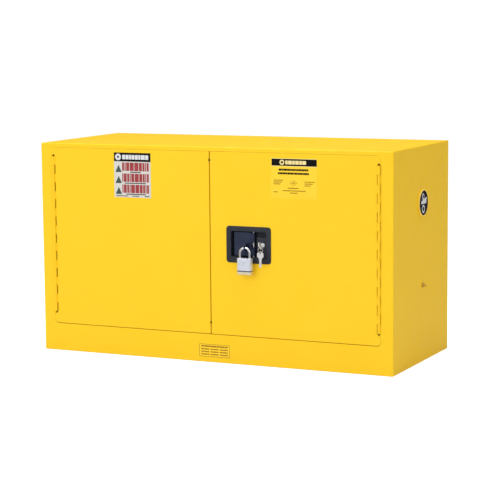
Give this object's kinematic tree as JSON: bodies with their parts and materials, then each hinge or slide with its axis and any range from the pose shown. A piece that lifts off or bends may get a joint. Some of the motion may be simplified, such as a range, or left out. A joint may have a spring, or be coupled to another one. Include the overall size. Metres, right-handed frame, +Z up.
{
  "type": "flammable storage cabinet",
  "caption": "Low double-walled steel safety cabinet with flush hinged doors, recessed paddle handle and key lock, padlock, bolting latch, sump, sloping shelf and capped side vents.",
  "frame": {"origin": "middle of the cabinet's base, on the surface that it stands on", "axes": "+X to the right seen from the front, along the cabinet's width; +Y to the back, so the doors face -Y; +Z up"},
  "size_m": [1.1076, 0.4845, 0.61],
  "materials": {
    "yellow_paint": "satin powder coat, safety yellow",
    "galvanised_steel": "galvanised, faint spangle",
    "zinc_plate": "bright zinc plate",
    "stainless_mesh": "perforated stainless, dull",
    "stainless": "turned stainless",
    "spring_steel": "bright spring wire",
    "cap_plastic": "moulded cap with a dark disc",
    "brass": "dull brass",
    "handle_black": "black die casting, fine powder coat",
    "paddle_black": "gloss navy-black enamel",
    "guide_plastic": "moulded nylon",
    "chrome": "polished chrome plate",
    "nickel": "nickel-plated key blank",
    "padlock_chrome": "laminated steel, satin plate, with brass rivets",
    "hazard_label": null,
    "yellow_label": null
  },
  "bodies": {
    "cabinet": {"outer_top_panel": "yellow_paint", "outer_left_panel": "yellow_paint", "outer_right_panel": "yellow_paint", "outer_back_panel": "yellow_paint", "outer_bottom_panel": "yellow_paint", "inner_top_panel": "yellow_paint", "inner_left_panel": "yellow_paint", "inner_right_panel": "yellow_paint", "inner_back_panel": "yellow_paint", "sump_pan": "yellow_paint", "floor_spacers": "galvanised_steel", "frame_header": "yellow_paint", "frame_sill": "yellow_paint", "frame_left_stile": "yellow_paint", "frame_right_stile": "yellow_paint", "latch_strikes": "zinc_plate", "shelf_standards": "galvanised_steel", "shelf_clips": "zinc_plate", "vent_bungs": "yellow_paint", "flame_arresters": "stainless_mesh", "ground_stud": "brass", "ground_nut": "brass", "left_hinge_frame_leaf": "yellow_paint", "right_hinge_frame_leaf": "yellow_paint", "hinge_pins": "yellow_paint", "sill_label": "yellow_label"},
    "left_door": {"left_door_outer_pan": "yellow_paint", "left_door_inner_pan": "yellow_paint", "left_door_strike": "zinc_plate", "left_hinge_door_leaf": "yellow_paint", "hazard_label": "hazard_label"},
    "right_door": {"right_door_outer_pan": "yellow_paint", "right_door_inner_pan": "yellow_paint", "right_hinge_door_leaf": "yellow_paint", "info_label": "yellow_label", "handle_housing": "handle_black", "handle_screws": "zinc_plate", "rod_guides": "guide_plastic", "lock_cylinder": "handle_black", "lock_nut": "zinc_plate", "paddle_pin": "zinc_plate", "paddle_spring": "spring_steel"},
    "handle_paddle": {"paddle": "paddle_black"},
    "rotor": {"latch_rotor": "zinc_plate"},
    "top_bolt": {"top_latch_rod": "zinc_plate", "top_latch_bullet": "stainless"},
    "bottom_bolt": {"bottom_latch_rod": "zinc_plate", "bottom_latch_bullet": "stainless"},
    "centre_bolt": {"centre_latch_bolt": "zinc_plate"},
    "lock": {"lock_plug": "chrome", "lock_cam": "zinc_plate"},
    "key_in_lock": {"key": "nickel", "key_ring": "spring_steel"},
    "hanging_key": {"spare_key": "nickel"},
    "padlock_hoop": {"padlock_shackle": "chrome"},
    "padlock": {"padlock_body": "padlock_chrome"},
    "adjustable_shelf": {"shelf": "galvanised_steel"},
    "left_cap": {"left_vent_cap": "cap_plastic"},
    "right_cap": {"right_vent_cap": "cap_plastic"}
  },
  "joints": [
    {"name": "left_door_hinge", "type": "hinge", "parent": "cabinet", "child": "left_door", "pos_m": [-0.5055, -0.2295, 0], "axis": [0, 0, -1], "range_deg": [0, 180]},
    {"name": "right_door_hinge", "type": "hinge", "parent": "cabinet", "child": "right_door", "pos_m": [0.5055, -0.2295, 0], "axis": [0, 0, 1], "range_deg": [0, 180]},
    {"name": "paddle_pull", "type": "hinge", "parent": "right_door", "child": "handle_paddle", "pos_m": [0.131, -0.221, 0.34], "axis": [0, 0, 1], "range_deg": [0, 35], "stiffness_Nm_per_rad": 0.08, "springref_deg": -20.05},
    {"name": "rotor_turn", "type": "hinge", "parent": "right_door", "child": "rotor", "pos_m": [0.119, -0.207, 0.34], "axis": [0, 1, 0], "range_deg": [0, 40]},
    {"name": "top_bolt_draw", "type": "slide", "parent": "right_door", "child": "top_bolt", "axis": [0, 0, -1], "range_m": [0, 0.01368]},
    {"name": "bottom_bolt_draw", "type": "slide", "parent": "right_door", "child": "bottom_bolt", "axis": [0, 0, 1], "range_m": [0, 0.01369]},
    {"name": "centre_bolt_draw", "type": "slide", "parent": "right_door", "child": "centre_bolt", "axis": [1, 0, 0], "range_m": [0, 0.01369]},
    {"name": "lock_turn", "type": "hinge", "parent": "right_door", "child": "lock", "pos_m": [0.161, -0.2285, 0.341], "axis": [0, -1, 0], "range_deg": [0, 90]},
    {"name": "key_pull", "type": "slide", "parent": "lock", "child": "key_in_lock", "axis": [0, -1, 0], "range_m": [0, 0.03]},
    {"name": "spare_key_hang", "type": "hinge", "parent": "key_in_lock", "child": "hanging_key", "pos_m": [0.16287, -0.247, 0.32236], "axis": [0, -1, 0], "range_deg": [-90, 0]},
    {"name": "padlock_swing", "type": "hinge", "parent": "handle_paddle", "child": "padlock_hoop", "pos_m": [0.1155, -0.2465, 0.3345], "axis": [-1, 0, 0], "range_deg": [0, 20]},
    {"name": "padlock_release", "type": "slide", "parent": "padlock_hoop", "child": "padlock", "axis": [0, 0, -1], "range_m": [0, 0.0145]},
    {"name": "shelf_lift", "type": "slide", "parent": "cabinet", "child": "adjustable_shelf", "axis": [0, 0, 1], "range_m": [0, 0.0285]},
    {"name": "left_vent_cap_off", "type": "slide", "parent": "cabinet", "child": "left_cap", "axis": [-1, 0, 0], "range_m": [0, 0.03]},
    {"name": "right_vent_cap_off", "type": "slide", "parent": "cabinet", "child": "right_cap", "axis": [1, 0, 0], "range_m": [0, 0.03]}
  ],
  "couplings": [
    {"joint": "paddle_pull", "follows": "top_bolt_draw", "rad_per_m": 44.654},
    {"joint": "rotor_turn", "follows": "top_bolt_draw", "rad_per_m": 51.033},
    {"joint": "bottom_bolt_draw", "follows": "top_bolt_draw", "ratio": 1},
    {"joint": "centre_bolt_draw", "follows": "top_bolt_draw", "ratio": 1},
    {"joint": "spare_key_hang", "follows": "lock_turn", "ratio": -1}
  ]
}
